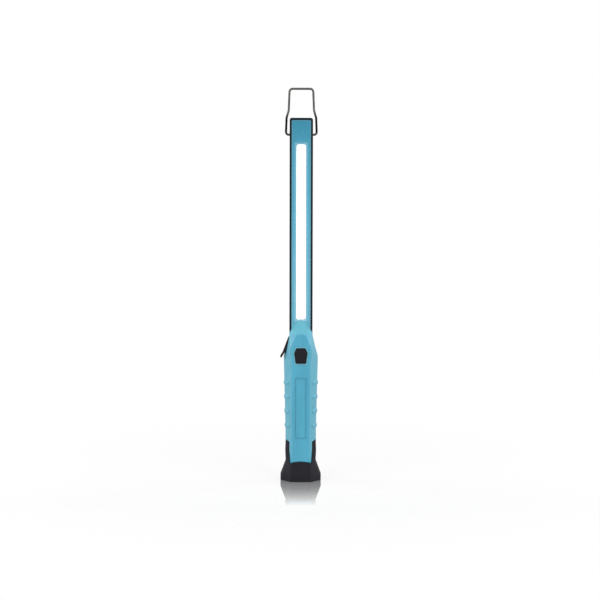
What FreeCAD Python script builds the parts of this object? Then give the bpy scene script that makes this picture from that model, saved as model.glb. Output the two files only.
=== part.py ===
import FreeCAD, Part
import math
import os
import re
import Sketcher

os.makedirs("parts", exist_ok=True)
doc = FreeCAD.newDocument("work_light")
sizes = doc.addObject("Spreadsheet::Sheet", "sizes")

# Driving sizes in millimetres and degrees. X runs across, Y to the back, Z up.
DRIVING = {
    # rubber boot
    "base_half": 22.8, "base_depth": 18.0, "base_nose_half": 11.4, "base_side_half": 4.5,
    "base_knee_half": 20.4, "base_knee_depth": 8.0, "skirt_tall": 6.7, "base_chamfer": 0.5,
    "neck_height": 22.2, "neck_half": 17.0, "neck_knee_half": 16.1, "neck_depth": 16.5,
    "neck_nose_half": 10.5, "cheek_nose_half": 8.0,
    "cheek_bulge_height": 35.0, "cheek_bulge_half": 17.5, "cheek_knee_half": 16.0,
    "cheek_depth": 11.4, "cheek_knee_depth": 5.0, "cheek_side_half": 1.6,
    "cheek_top_outer": 46.0, "cheek_top_inner": 44.5, "boot_floor": 8.9,
    "boot_front_top": 20.5, "boot_arch_rise": 3.2, "boot_arch_share": 0.97,
    # handle shells
    "wall_thick": 2.0, "face_depth": 16.0, "ridge_depth": 6.6, "foot_half": 12.7, "foot_depth": 13.9,
    "foot_front_half": 10.6, "foot_bevel_depth": 10.8, "foot_nose_half": 8.6,
    "foot_flank_depth": 8.0, "foot_fit": 0.1, "shell_low": 17.0, "sill_gap": 1.1,
    "grip_low_height": 57.0, "grip_low_half": 17.2, "grip_high_height": 121.0, "grip_high_half": 18.8,
    "hip_height": 139.0, "hip_half": 19.2, "shoulder_height": 142.5, "shoulder_half": 18.8,
    "waist_height": 151.0, "waist_half": 16.3, "neck_top_height": 162.0, "neck_top_half": 13.6,
    "ridge_draft": 2.9, "waist_draft": 1.3, "face_half": 10.0, "face_wide_half": 12.6,
    "face_top": 167.3, "face_round": 7.4, "face_arch_half": 11.4, "face_top_half": 4.6,
    "tongue_side_top": 167.5, "tongue_apex": 189.8,
    "tongue_round": 9.2, "handle_top": 165.3, "seat_fit": 0.1, "cavity_low": 48.0, "face_inset": 1.4,
    # finger bumps
    "bump_low": 62.6, "bump_pitch": 16.2, "bump_radius": 3.6, "bump_proud": 1.25, "bump_reach": 8.6,
    # panel and button on the handle face
    "panel_half": 6.0, "panel_low": 49.6, "panel_high": 117.3, "panel_sink": 0.5, "panel_round": 1.0,
    "frame_grow": 1.1, "frame_proud": 0.25,
    "button_low": 134.0, "button_mid": 146.0, "button_high": 151.3, "button_low_half": 5.8,
    "button_mid_half": 7.5, "button_high_half": 5.0, "low_share": 0.85, "high_share": 0.7,
    "button_round": 1.2, "button_fit": 0.08,
    "button_proud": 1.5, "button_crown": 0.5, "crown_inset": 1.7, "button_lip": 1.1, "lip_proud": 0.4,
    "button_flange": 0.8, "flange_thick": 1.0, "stem_radius": 1.7,
    "stem_gap": 0.05, "stem_grip": 1.2, "stem_height": 142.0,
    # magnet foot
    "cup_radius": 13.0, "cup_high": 5.0, "cup_thick": 1.2, "cup_low": 0.2, "magnet_radius": 11.2,
    "magnet_hole": 4.5, "magnet_screw_radius": 1.5, "magnet_head_radius": 3.2,
    "magnet_head_tall": 1.8, "piece_fit": 0.1, "plug_tall": 11.0, "plug_screw_reach": 8.0,
    # battery
    "cell_radius": 9.2, "cell_low": 50.0, "cell_tall": 65.2, "cell_shrink": 1.0, "tab_thick": 0.3,
    "tab_half": 4.0, "cradle_thick": 1.3, "cradle_end": 1.2, "pad_half": 6.0, "pad_tall": 40.0,
    # boards
    "board_half": 9.0, "board_low": 118.0, "board_high": 159.5, "board_back": 8.0, "board_thick": 1.4,
    "board_screw_low": 122.5, "board_screw_high": 156.5, "boss_radius": 2.4, "small_shank": 1.0,
    "small_head": 1.9, "small_head_tall": 1.3, "small_reach": 3.4, "switch_half": 3.0,
    "switch_tall": 2.4, "switch_floor": 0.25, "chip_half": 2.5, "chip_tall": 1.1,
    "chip_height": 129.0, "coil_half": 3.0, "coil_tall": 2.2, "coil_height": 138.0,
    # handle screws and root block
    "screw_low_across": 7.0, "screw_low_height": 34.0, "screw_high_across": 12.0,
    "screw_high_height": 126.5, "screw_shank": 1.1, "screw_head": 2.2, "screw_head_tall": 1.6,
    "screw_seat": 3.0, "screw_reach": 4.5, "screw_clear": 0.2, "screw_boss": 2.5,
    "boss_deep": 6.0, "root_half": 6.6, "root_back": 4.8, "root_low": 139.5, "root_high": 180.5,
    "root_screw_low": 145.0, "root_screw_high": 157.0, "root_screw_reach": 3.5,
    # charging port, measured from the pin of its cover along the slanted shoulder
    "pin_across": 12.4, "pin_height": 160.5, "pin_radius": 0.6, "pin_half": 6.1, "run_fit": 0.05,
    "cover_half": 4.5, "cover_fit": 0.15, "knuckle_radius": 2.3, "cover_thick": 1.68,
    "shoulder_out": 1.52, "cover_rise": 0.35, "cover_kink": 16.8, "cover_kink_out": 4.35,
    "cover_kink_round": 3.0, "cover_tip": 22.4, "cover_tip_out": 6.1,
    "cover_tip_round": 0.8, "tab_thick_out": 2.0, "tab_slant": 0.5, "seat_long": 16.9,
    "cover_foot": 16.4, "plug_wide": 8.0, "plug_deep": 2.1, "plug_in": 0.9, "port_down": 9.6,
    "jack_wide": 9.0, "jack_deep": 3.2, "jack_long": 7.3,
    "jack_wall": 0.3, "jack_round": 1.2, "jack_sink": 0.2, "jack_tongue_half": 3.3,
    "jack_tongue_thick": 0.7, "jack_back": 1.5, "charge_board_thick": 1.0, "charge_board_half": 4.4,
    "pin_block_half": 5.8, "pin_block_low": 157.5, "pin_block_inner": 9.0,
    # blade
    "blade_half": 13.0, "blade_deep": 6.5, "blade_high": 407.7, "blade_round": 2.5, "rim_wide": 2.1,
    "rim_top": 2.4, "ledge_wide": 0.9, "fascia_sink": 0.3, "fascia_thick": 1.2, "back_thick": 1.6,
    "slip_fit": 0.08, "fascia_round": 1.0, "window_half": 5.25, "window_low": 182.3,
    "window_high": 378.5, "window_round": 1.0, "lens_fit": 0.05, "lens_sink": 0.05,
    "flange_wide": 1.4, "lens_flange": 0.8, "gasket_thick": 0.4, "gasket_gap": 0.15,
    "strip_half": 5.0, "strip_margin": 0.5, "strip_round": 1.0, "strip_thick": 0.6, "strip_gap": 1.0,
    "led_board_half": 5.6, "led_board_thick": 1.0, "spreader_half": 7.0, "spreader_thick": 3.0,
    "spreader_inset": 2.0, "post_radius": 3.0, "post_low": 215.0, "post_high": 345.0,
    "cap_low": 383.5, "cap_screw": 397.0, "root_screw_top": 173.0, "blade_screw_reach": 4.0,
    "blade_head_tall": 1.0,
    # wire hook
    "wire_radius": 1.25, "hook_height": 389.0, "foot_inner": 9.6, "hook_low_half": 17.2,
    "hook_low_round": 3.0, "hook_mid_half": 16.5, "hook_mid_height": 407.7,
    "hook_kink_half": 14.1, "hook_kink_height": 416.0, "hook_kink_round": 6.0,
    "hook_top_half": 13.1, "hook_top": 439.9, "hook_round": 3.6, "bush_radius": 2.2,
    "bush_inner": 8.6, "bush_floor": 0.6,
    # wiring
    "lead_radius": 0.6, "lead_slot_half": 2.2,
}

# Sizes that follow from the driving ones.
FOLLOWING = {
    "foot_bottom": "boot_floor+foot_fit",
    "foot_inner_half": "foot_half-wall_thick",
    "foot_inner_depth": "foot_depth-wall_thick",
    "face_inner": "face_depth-wall_thick",
    "board_front": "board_back+board_thick",
    "flange_front": "face_inner-stem_gap",
    "flange_back": "face_inner-stem_gap-flange_thick",
    "stem_front": "flange_back-stem_gap",
    "switch_front": "board_front+switch_tall",
    "stem_back": "switch_front-stem_grip",
    "cell_high": "cell_low+cell_tall",
    "shoulder_tilt": "atan((waist_half-neck_top_half)/(neck_top_height-waist_height))",
    "port_seat": "knuckle_radius-cover_thick-stem_gap",
    "rim_inner_half": "blade_half-rim_wide",
    "cavity_half": "blade_half-rim_wide-ledge_wide",
    "fascia_front": "blade_deep-fascia_sink",
    "fascia_back": "fascia_front-fascia_thick",
    "cavity_back": "blade_deep-back_thick",
    "fascia_high": "blade_high-rim_top",
    "cavity_high": "blade_high-rim_top-ledge_wide",
    "gasket_back": "fascia_back-gasket_thick",
    "lens_back": "gasket_back-lens_flange",
    "strip_front": "lens_back-strip_gap",
    "led_board_front": "strip_front-strip_thick",
    "spreader_front": "led_board_front-led_board_thick",
    "spreader_back": "spreader_thick-spreader_front",
    "flange_half": "window_half+flange_wide",
    "flange_low": "window_low-flange_wide",
    "flange_high": "window_high+flange_wide",
    "spreader_low": "flange_low+spreader_inset",
    "spreader_high": "flange_high-spreader_inset",
    "bore_radius": "wire_radius+run_fit",
    "cheek_slant": "(cheek_top_outer-cheek_top_inner)/(grip_low_half-foot_half)",
    "face_step": "(waist_height-shoulder_height)/7",
    "grip_slope": "(grip_high_half-grip_low_half)/(grip_high_height-grip_low_height)",
    "arch_run": "boot_arch_share*sqrt(foot_half^2+boot_arch_rise^2)",
    "arch_radius": "arch_run*foot_half/boot_arch_rise",
}


def formula(text):
    """Spell a size formula as a FreeCAD expression on the sheet."""
    def spell(match):
        word = match.group(0)
        if word in FOLLOWING:
            return "(" + formula(FOLLOWING[word]) + ")"
        return "sizes." + word
    return re.sub(r"\b[a-z]+_\w+\b", spell, str(text))


def value(text):
    """Return a size formula as a number."""
    return float(sizes.evalExpression("0+" + formula(text)))


def bind(thing, **fields):
    """Tie properties of an object to size formulas."""
    for name, text in fields.items():
        thing.setExpression(name.replace("__", "."), formula(text))


def fill_sheet():
    """Write every driving size into the sheet under its alias."""
    for row, (alias, number) in enumerate(DRIVING.items(), start=1):
        sizes.set(f"A{row}", alias)
        sizes.set(f"B{row}", str(number))
        sizes.setAlias(f"B{row}", alias)
    doc.recompute()


def new_body(label):
    """Start a body whose label names its file."""
    body = doc.addObject("PartDesign::Body", label)
    body.Label = label
    body.AllowCompound = True
    return body


def new_sketch(body, plane, place):
    """Attach a sketch to an origin plane, moved along that plane's axis to a coordinate."""
    flat = body.newObject("Sketcher::SketchObject", "flat")
    support = next(item for item in body.Origin.OriginFeatures if item.Role == plane + "_Plane")
    flat.AttachmentSupport = [(support, "")]
    flat.MapMode = "FlatFace"
    sign = "-1" if plane == "XZ" else "1"
    flat.setExpression("AttachmentOffset.Base.z", f"{sign}*({formula(place)})")
    return flat


def pin_point(flat, geometry, spot, x, y):
    """Hold one point of a sketch at two size formulas."""
    for kind, text in (("DistanceX", x), ("DistanceY", y)):
        number = flat.addConstraint(Sketcher.Constraint(kind, -1, 1, geometry, spot, value(text)))
        flat.setExpression(f"Constraints[{number}]", formula(text))


def arc_between(before, corner, after, radius):
    """Work out a tangent arc in a corner: its start, its end, the arc and whether it turns left."""
    back = (before - corner).normalize()
    ahead = (after - corner).normalize()
    half = back.getAngle(ahead) / 2
    start = corner + back * (radius / math.tan(half))
    end = corner + ahead * (radius / math.tan(half))
    middle = corner + (back + ahead).normalize() * (radius / math.sin(half))
    left = back.cross(ahead).z < 0
    first, last = (start, end) if left else (end, start)
    angles = [math.atan2(spot.y - middle.y, spot.x - middle.x) for spot in (first, last)]
    if angles[1] < angles[0]:
        angles[1] += 2 * math.pi
    circle = Part.Circle(middle, FreeCAD.Vector(0, 0, 1), radius)
    return start, end, Part.ArcOfCircle(circle, *angles), left


def outline(flat, corners, closed=True):
    """Draw straight lines through corners given as formulas; a third value rounds a corner."""
    spots = [FreeCAD.Vector(value(corner[0]), value(corner[1]), 0) for corner in corners]
    count = len(corners)
    starts = list(spots)
    ends = list(spots)
    arcs = {}
    for index, corner in enumerate(corners):
        if len(corner) == 3:
            after = spots[(index + 1) % count]
            arcs[index] = arc_between(spots[index - 1], spots[index], after, value(corner[2]))
            starts[index], ends[index] = arcs[index][:2]
    spans = count if closed else count - 1
    lines = []
    for index in range(spans):
        line = Part.LineSegment(ends[index], starts[(index + 1) % count])
        lines.append(flat.addGeometry(line, False))
    for index, corner in enumerate(corners):
        if index in arcs:
            round_corner(flat, corner, arcs[index], lines[index - 1], lines[index])
        elif closed or 0 < index < count - 1:
            flat.addConstraint(Sketcher.Constraint("Coincident", lines[index - 1], 2, lines[index], 1))
            pin_point(flat, lines[index], 1, corner[0], corner[1])
        else:
            line, spot = (lines[0], 1) if index == 0 else (lines[-1], 2)
            pin_point(flat, line, spot, corner[0], corner[1])


def round_corner(flat, corner, arc, line_in, line_out):
    """Add a tangent arc whose lines aim at a pinned construction point."""
    curve = flat.addGeometry(arc[2], False)
    aim = flat.addGeometry(Part.Point(FreeCAD.Vector(value(corner[0]), value(corner[1]), 0)), True)
    pin_point(flat, aim, 1, corner[0], corner[1])
    first, last = (1, 2) if arc[3] else (2, 1)
    flat.addConstraint(Sketcher.Constraint("Tangent", line_in, 2, curve, first))
    flat.addConstraint(Sketcher.Constraint("Tangent", curve, last, line_out, 1))
    flat.addConstraint(Sketcher.Constraint("PointOnObject", aim, 1, line_in))
    flat.addConstraint(Sketcher.Constraint("PointOnObject", aim, 1, line_out))
    number = flat.addConstraint(Sketcher.Constraint("Radius", curve, value(corner[2])))
    flat.setExpression(f"Constraints[{number}]", formula(corner[2]))


def ring(flat, x, y, radius):
    """Draw a circle about a pinned centre."""
    middle = FreeCAD.Vector(value(x), value(y), 0)
    circle = flat.addGeometry(Part.Circle(middle, FreeCAD.Vector(0, 0, 1), value(radius)), False)
    pin_point(flat, circle, 3, x, y)
    number = flat.addConstraint(Sketcher.Constraint("Radius", circle, value(radius)))
    flat.setExpression(f"Constraints[{number}]", formula(radius))


def draw(flat, shapes):
    """Draw outlines (lists of corners) and rings (tuples of x, y, radius)."""
    for shape in shapes:
        if isinstance(shape, list):
            outline(flat, shape)
        else:
            ring(flat, *shape)


def slab(body, plane, low, high, *shapes, cut=False):
    """Add or cut a prism that spans two coordinates along the plane's axis."""
    flat = new_sketch(body, plane, high if plane == "XZ" else low)
    draw(flat, shapes)
    prism = body.newObject("PartDesign::Pocket" if cut else "PartDesign::Pad", "prism")
    prism.Profile = flat
    prism.Reversed = cut
    bind(prism, Length=f"({high})-({low})")
    return prism


def loft(body, plane, sections, cut=False):
    """Add or cut a ruled loft through outlines at given coordinates."""
    flats = []
    for place, corners in sections:
        flats.append(new_sketch(body, plane, place))
        outline(flats[-1], corners)
    kind = "PartDesign::SubtractiveLoft" if cut else "PartDesign::AdditiveLoft"
    skin = body.newObject(kind, "skin")
    skin.Profile = flats[0]
    skin.Sections = flats[1:]
    skin.Ruled = True
    return skin


def turned(body, corners, axis="Z", plane="XZ"):
    """Revolve an outline about one of the body's axes."""
    flat = new_sketch(body, plane, "0")
    outline(flat, corners)
    spin = body.newObject("PartDesign::Revolution", "spin")
    spin.Profile = flat
    spin.ReferenceAxis = (flat, ["V_Axis" if axis == "Z" else "H_Axis"])
    spin.Angle = 360
    return spin


def soften(body, feature, radius, chooser, kind="PartDesign::Fillet"):
    """Round or bevel the edges of a feature that the chooser picks."""
    doc.recompute()
    names = [f"Edge{n}" for n, edge in enumerate(feature.Shape.Edges, start=1) if chooser(edge)]
    blend = body.newObject(kind, "blend")
    blend.Base = (feature, names)
    bind(blend, **{"Radius" if kind == "PartDesign::Fillet" else "Size": radius})
    return blend


def box(half, low, high, round_size=None):
    """Corners of an upright rectangle centred on X."""
    spots = [(f"-({half})", low), (half, low), (half, high), (f"-({half})", high)]
    return [spot + (round_size,) for spot in spots] if round_size else spots


def rectangle(left, low, right, high):
    """Corners of any rectangle."""
    return [(left, low), (right, low), (right, high), (left, high)]


def mirrored(right_side):
    """Close an outline from the corners of its right side, listed upwards."""
    left_side = [(f"-({spot[0]})",) + tuple(spot[1:]) for spot in reversed(right_side)]
    return list(right_side) + left_side


def flat_at(axis, place):
    """Choose edges that lie in one plane across an axis."""
    def chosen(edge):
        low = getattr(edge.BoundBox, axis + "Min")
        high = getattr(edge.BoundBox, axis + "Max")
        return abs(low - value(place)) < 0.01 and abs(high - value(place)) < 0.01
    return chosen


def octagon(nose_half, depth, knee_half, knee_depth, side_half, side_depth):
    """Eight-sided plan, longer in front and behind, of the boot at one height."""
    right = [(nose_half, f"-({depth})"), (knee_half, f"-({knee_depth})"),
             (side_half, f"-({side_depth})"), (side_half, side_depth), (knee_half, knee_depth),
             (nose_half, depth)]
    return mirrored(right)


def base_boot():
    """Rubber boot: flared skirt, two cheeks, a pocket for the handle foot, a recess below."""
    body = new_body("base_boot")
    foot = octagon("base_nose_half", "base_depth", "base_knee_half", "base_knee_depth",
                   "base_half", "base_side_half")
    skirt = slab(body, "XY", "0", "skirt_tall", foot)
    soften(body, skirt, "base_chamfer", flat_at("Z", "0"), "PartDesign::Chamfer")
    neck = octagon("neck_nose_half", "neck_depth", "neck_knee_half", "base_knee_depth",
                   "neck_half", "base_side_half")
    bulge_depth = "(neck_depth+cheek_depth)/2"
    bulge_knee = "(base_knee_depth+cheek_knee_depth)/2"
    bulge_side = "(base_side_half+cheek_side_half)/2"
    bulge = octagon("(neck_nose_half+cheek_nose_half)/2", bulge_depth,
                    "cheek_bulge_half-neck_half+neck_knee_half", bulge_knee, "cheek_bulge_half",
                    bulge_side)
    cheek = octagon("cheek_nose_half", "cheek_depth", "cheek_knee_half", "cheek_knee_depth",
                    "grip_low_half-foot_fit", "cheek_side_half")
    loft(body, "XY", [("skirt_tall", foot), ("neck_height", neck)])
    loft(body, "XY", [("neck_height", neck), ("cheek_bulge_height", bulge)])
    loft(body, "XY", [("cheek_bulge_height", bulge), ("cheek_top_outer", cheek)])
    back = foot_corners("foot_fit")
    front = [(spot[0], f"-({spot[1]})") for spot in reversed(back[1:])]
    slab(body, "XY", "boot_floor", "cheek_top_outer+1", mirrored(front + back[1:]), cut=True)
    slab(body, "XZ", "-(base_depth+1)", "base_depth+1", arch_gap("0", "cheek_top_outer+1"), cut=True)
    for side in (1, -1):
        slab(body, "XZ", "-base_depth", "base_depth",
             [(f"{side}*(foot_half-1)", "cheek_top_inner-(cheek_top_outer-cheek_top_inner)/4"),
              (f"{side}*(foot_half+foot_fit)", "cheek_top_inner"),
              (f"{side}*(grip_low_half+1)", "cheek_top_outer+cheek_slant*1"),
              (f"{side}*(grip_low_half+1)", "cheek_top_outer+4"),
              (f"{side}*(foot_half-1)", "cheek_top_outer+4")], cut=True)
    slab(body, "XY", "-1", "cup_high", ("0", "0", "cup_radius+piece_fit"), cut=True)
    slab(body, "XY", "cup_high-1", "boot_floor+1", ("0", "0", "magnet_screw_radius+screw_clear"), cut=True)


def arch_gap(fit, top):
    """Gap in the boot's front and back for the handle's tongue, with an arched sill."""
    half = f"foot_half+foot_fit-({fit})"
    sill = f"boot_front_top+({fit})"
    return [(f"-({half})", sill), ("0", f"{sill}+boot_arch_rise", "arch_radius"),
            (half, sill), (half, top), (f"-({half})", top)]


def silhouette(top, inset, draft):
    """Outline of a handle shell at its seam or ridge, listed up the right side."""
    low = f"grip_low_half-({draft})-({inset})"
    rows = [
        (low, top[0]),
        (low, "grip_low_height"),
        (f"grip_high_half-({draft})-({inset})", "grip_high_height"),
        (f"hip_half-({draft})-({inset})", "hip_height"),
        (f"shoulder_half-({draft})-({inset})", "shoulder_height"),
        (f"waist_half-({draft})*waist_draft/ridge_draft-({inset})", "waist_height"),
        (f"{top[2]}-({inset})", "neck_top_height"),
        (f"blade_half+seat_fit-({inset})", top[1]),
    ]
    return rows


def face_rows(low, top, inset, square):
    """Outline of the flat front of a handle shell, listed up the right side."""
    rows = [
        (f"face_half-({inset})", low),
        (f"face_half-({inset})", "grip_low_height"),
        (f"face_half-({inset})", "grip_high_height"),
        (f"(face_half+face_wide_half)/2-({inset})", "hip_height"),
        (f"face_wide_half-({inset})", "shoulder_height+1.5*face_step"),
        (f"face_wide_half-({inset})", "shoulder_height+5*face_step"),
        (f"face_arch_half-({inset})", "shoulder_height+8*face_step"),
    ]
    if square:
        return rows + [(f"face_arch_half-2*({inset})", top)]
    return rows + [(f"face_top_half-({inset})", top, "face_round")]


def shell(label, side):
    """One handle shell: side is -1 for the front and 1 for the back."""
    body = new_body(label)
    ridge = f"{side}*ridge_depth"
    face = f"{side}*face_depth"
    low = "shell_low"
    seam_line = mirrored(silhouette((low, "handle_top", "neck_top_half"), "0", "0"))
    ridge_low = mirrored(silhouette((low, "handle_top", "blade_half+seat_fit"), "0", "ridge_draft"))
    ridge_high = silhouette((low, "tongue_side_top", "blade_half+seat_fit"), "0", "ridge_draft")
    left = [(f"-({spot[0]})", spot[1]) for spot in reversed(ridge_high)]
    ridge_line = ridge_high + [("0", "tongue_apex", "tongue_round")] + left
    face_line = mirrored(face_rows(low, "face_top", "0", False))
    loft(body, "XZ", [("0", seam_line), (ridge, ridge_low)])
    loft(body, "XZ", [(ridge, ridge_line), (face, face_line)])
    slab(body, "XY", "foot_bottom", "boot_front_top",
         mirrored([(spot[0], f"{side}*({spot[1]})") for spot in foot_corners("0")]))
    trim_foot(body, side)
    grow_bumps(body, side)
    near, far = sorted([f"-{side}*(bump_radius+1)", "0"], key=value)
    slab(body, "XZ", near, far, box("hip_half+2", "boot_front_top", "hip_height"), cut=True)
    hollow(body, side)
    return body


def foot_corners(fit):
    """Right side of the foot's plan from the seam forwards, its front corner bevelled."""
    return [(f"foot_half+({fit})", "0"), (f"foot_half+({fit})", f"foot_bevel_depth+({fit})"),
            (f"foot_front_half+({fit})", f"foot_depth+({fit})")]


def trim_foot(body, side):
    """Cut the shell back where the boot's sill and cheeks go."""
    near, far = sorted([f"{side}*foot_depth", f"{side}*(face_depth+2)"], key=value)
    half = "foot_half"
    sill = "boot_front_top+sill_gap"
    slab(body, "XZ", near, far,
         [("-(foot_half+9)", "foot_bottom-1"), ("foot_half+9", "foot_bottom-1"), ("foot_half+9", sill),
          (half, sill), ("0", f"{sill}+boot_arch_rise", "arch_radius"),
          (f"-({half})", sill), ("-(foot_half+9)", sill)], cut=True)
    near, far = sorted([f"-{side}*1", f"{side}*(face_depth+2)"], key=value)
    for hand in (1, -1):
        slab(body, "XY", "foot_bottom-1", sill,
             [(f"{hand}*foot_half", f"{side}*foot_bevel_depth"),
              (f"{hand}*(foot_half+9)", f"{side}*foot_bevel_depth"),
              (f"{hand}*(foot_half+9)", f"{side}*foot_depth"),
              (f"{hand}*foot_front_half", f"{side}*foot_depth")], cut=True)
        slab(body, "XZ", near, far,
             [(f"{hand}*foot_half", "foot_bottom-1"), (f"{hand}*(foot_half+9)", "foot_bottom-1"),
              (f"{hand}*(foot_half+9)", "cheek_top_inner+foot_fit+9*cheek_slant"),
              (f"{hand}*foot_half", "cheek_top_inner+foot_fit")], cut=True)


def grow_bumps(body, side):
    """Finger bumps: round-ended ribs that wrap from the seam onto each flank."""
    for hand in (1, -1):
        for number in range(4):
            height = f"(bump_low+{number}*bump_pitch)"
            half = f"(grip_low_half+({height}-grip_low_height)*grip_slope)"
            start = f"({half}-bump_radius+bump_proud)"
            turn = f"atan(({half}-face_half)/face_depth)"
            rib = body.newObject("PartDesign::AdditiveCylinder", "rib")
            bind(rib, Radius="bump_radius", Height="bump_reach",
                 Placement__Base__x=f"{hand}*{start}", Placement__Base__z=height,
                 Placement__Rotation__Axis__x=f"-{side}*cos({turn})",
                 Placement__Rotation__Axis__y=f"-{hand}*sin({turn})",
                 Placement__Rotation__Axis__z="0", Placement__Rotation__Angle="90")
            end = body.newObject("PartDesign::AdditiveSphere", "rib_end")
            bind(end, Radius="bump_radius",
                 Placement__Base__x=f"{hand}*({start}-bump_reach*sin({turn}))",
                 Placement__Base__y=f"{side}*bump_reach*cos({turn})", Placement__Base__z=height)


def hollow(body, side):
    """Clear the inside of a shell for the battery, boards and the two end blocks."""
    ridge = f"{side}*ridge_depth"
    inner = f"{side}*face_inner"
    past = f"-{side}*0.5"
    top = "handle_top-wall_thick"
    seam_line = mirrored(silhouette(("cavity_low", top, "neck_top_half"), "wall_thick", "0"))
    ridge_top = ("cavity_low", top, "blade_half+seat_fit")
    ridge_line = mirrored(silhouette(ridge_top, "wall_thick", "ridge_draft"))
    face_line = mirrored(face_rows("cavity_low", "waist_height+(neck_top_height-waist_height)*0.8",
                                   "face_inset", True))
    loft(body, "XZ", [("0", seam_line), (ridge, ridge_line)], cut=True)
    loft(body, "XZ", [(ridge, ridge_line), (inner, face_line)], cut=True)
    near, far = sorted([past, f"{side}*(root_back+seat_fit)"], key=value)
    slab(body, "XZ", near, far, box("root_half+seat_fit", f"{top}-1", "handle_top+1"), cut=True)
    near, far = sorted([past, f"{side}*lead_slot_half"], key=value)
    lead_half = "root_half+2*lead_radius+3*piece_fit"
    slab(body, "XZ", near, far, box(lead_half, f"{top}-1", "handle_top+1"), cut=True)
    slab(body, "XY", "foot_bottom+wall_thick", "cavity_low+0.5", foot_plan(side, "0"), cut=True)
    hole = ("0", "0", "magnet_screw_radius+screw_clear")
    slab(body, "XY", "foot_bottom-1", "foot_bottom+wall_thick+1", hole, cut=True)


def foot_plan(side, fit):
    """Plan of the space inside the foot, on one side of the seam or both (side 0)."""
    half = f"foot_inner_half-({fit})"
    depth = f"foot_inner_depth-({fit})"
    right = [(half, "0"), (half, "foot_flank_depth"), (f"foot_nose_half-({fit})", depth)]
    if side:
        return mirrored([(spot[0], f"{side}*({spot[1]})") for spot in right])
    lower = [(spot[0], f"-({spot[1]})") for spot in reversed(right[1:])]
    return mirrored(lower + right[1:])


def coffin(grow, round_size=None):
    """Six-sided outline of the thumb button, grown or shrunk."""
    right = [(f"button_low_half+({grow})*low_share", f"button_low-({grow})"),
             (f"button_mid_half+({grow})", "button_mid"),
             (f"button_high_half+({grow})*high_share", f"button_high+({grow})")]
    if round_size:
        right = [spot + (round_size,) for spot in right]
    return mirrored(right)


def port_tilt(thing, hand="-1"):
    """Set an object at the cover's pin, slanted like the left shoulder."""
    bind(thing, Placement__Base__x=f"{hand}*pin_across", Placement__Base__z="pin_height",
         Placement__Rotation__Axis__x="0", Placement__Rotation__Axis__y="1",
         Placement__Rotation__Axis__z="0", Placement__Rotation__Angle="shoulder_tilt")


def port_cut(body, out_low, out_high, down_low, down_high, half):
    """Cut a box placed by how far out of and down along the slanted shoulder it lies."""
    notch = body.newObject("PartDesign::SubtractiveBox", "notch")
    bind(notch, Length=f"({out_high})-({out_low})", Height=f"({down_high})-({down_low})",
         Width=f"2*({half})")
    port_tilt(notch)
    across = f"-({out_high})"
    up = f"-({down_high})"
    bind(notch, Placement__Base__x=f"-pin_across+({across})*cos(shoulder_tilt)+({up})*sin(shoulder_tilt)",
         Placement__Base__y=f"-({half})",
         Placement__Base__z=f"pin_height-({across})*sin(shoulder_tilt)+({up})*cos(shoulder_tilt)")


def cut_port(body, side):
    """Pin block, cover seat and jack slot on the left shoulder of a shell."""
    near, far = sorted(["0", f"{side}*pin_block_half"], key=value)
    slab(body, "XZ", near, far, rectangle("-(neck_top_half-0.8*wall_thick)", "pin_block_low",
                                          "-pin_block_inner", "handle_top-0.5*wall_thick"))
    near, far = sorted([f"-{side}*1", f"{side}*(cover_half+cover_fit)"], key=value)
    slab(body, "XZ", near, far, ("-pin_across", "pin_height", "knuckle_radius+cover_fit"), cut=True)
    near, far = sorted([f"-{side}*1", f"{side}*pin_half"], key=value)
    slab(body, "XZ", near, far, ("-pin_across", "pin_height", "pin_radius"), cut=True)
    wide = "cover_half+cover_fit"
    port_cut(body, "0", "5", "-(knuckle_radius+cover_rise)", "0.01", wide)
    port_cut(body, "port_seat", "5", "0", "seat_long", wide)
    port_cut(body, "port_seat-jack_long-1", "5", "port_down-jack_wide/2-piece_fit",
             "port_down+jack_wide/2+piece_fit", "jack_deep/2+piece_fit")


def front_shell():
    """Blue front half: panel, button opening, board bosses, screw bosses."""
    body = shell("front_shell", -1)
    near = "-(face_depth+frame_proud)"
    slab(body, "XZ", near, "-(face_depth-0.5)",
         box("panel_half+frame_grow", "panel_low-frame_grow", "panel_high+frame_grow", "panel_round"))
    slab(body, "XZ", "-(face_depth+2)", "-(face_depth-panel_sink)",
         box("panel_half", "panel_low", "panel_high", "panel_round"), cut=True)
    slab(body, "XZ", "-(face_depth+lip_proud)", "-(face_depth-0.5)", coffin("button_lip", "button_round"))
    slab(body, "XZ", "-(face_depth+2)", "-(face_inner-1)", coffin("button_fit", "button_round"), cut=True)
    bosses = [("0", height, "boss_radius") for height in ("board_screw_low", "board_screw_high")]
    slab(body, "XZ", "-(face_inner+0.5)", "-board_front", *bosses)
    holes = [("0", height, "small_shank") for height in ("board_screw_low", "board_screw_high")]
    slab(body, "XZ", "-(board_front+small_reach)", "-(board_front-1)", *holes, cut=True)
    low_bosses = [(f"{hand}*screw_low_across", "screw_low_height", "screw_boss") for hand in (1, -1)]
    slab(body, "XZ", "-(foot_inner_depth+0.5)", "0", *low_bosses)
    high_bosses = [(f"{hand}*screw_high_across", "screw_high_height", "screw_boss") for hand in (1, -1)]
    slab(body, "XZ", "-boss_deep", "0", *high_bosses)
    slab(body, "XZ", "-screw_reach", "1", *[spot[:2] + ("screw_shank",) for spot in screw_spots()],
         cut=True)
    cut_port(body, -1)


def screw_spots():
    """Places of the four screws that hold the shells together."""
    spots = []
    for hand in (1, -1):
        spots.append((f"{hand}*screw_low_across", "screw_low_height"))
        spots.append((f"{hand}*screw_high_across", "screw_high_height"))
    return spots


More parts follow.
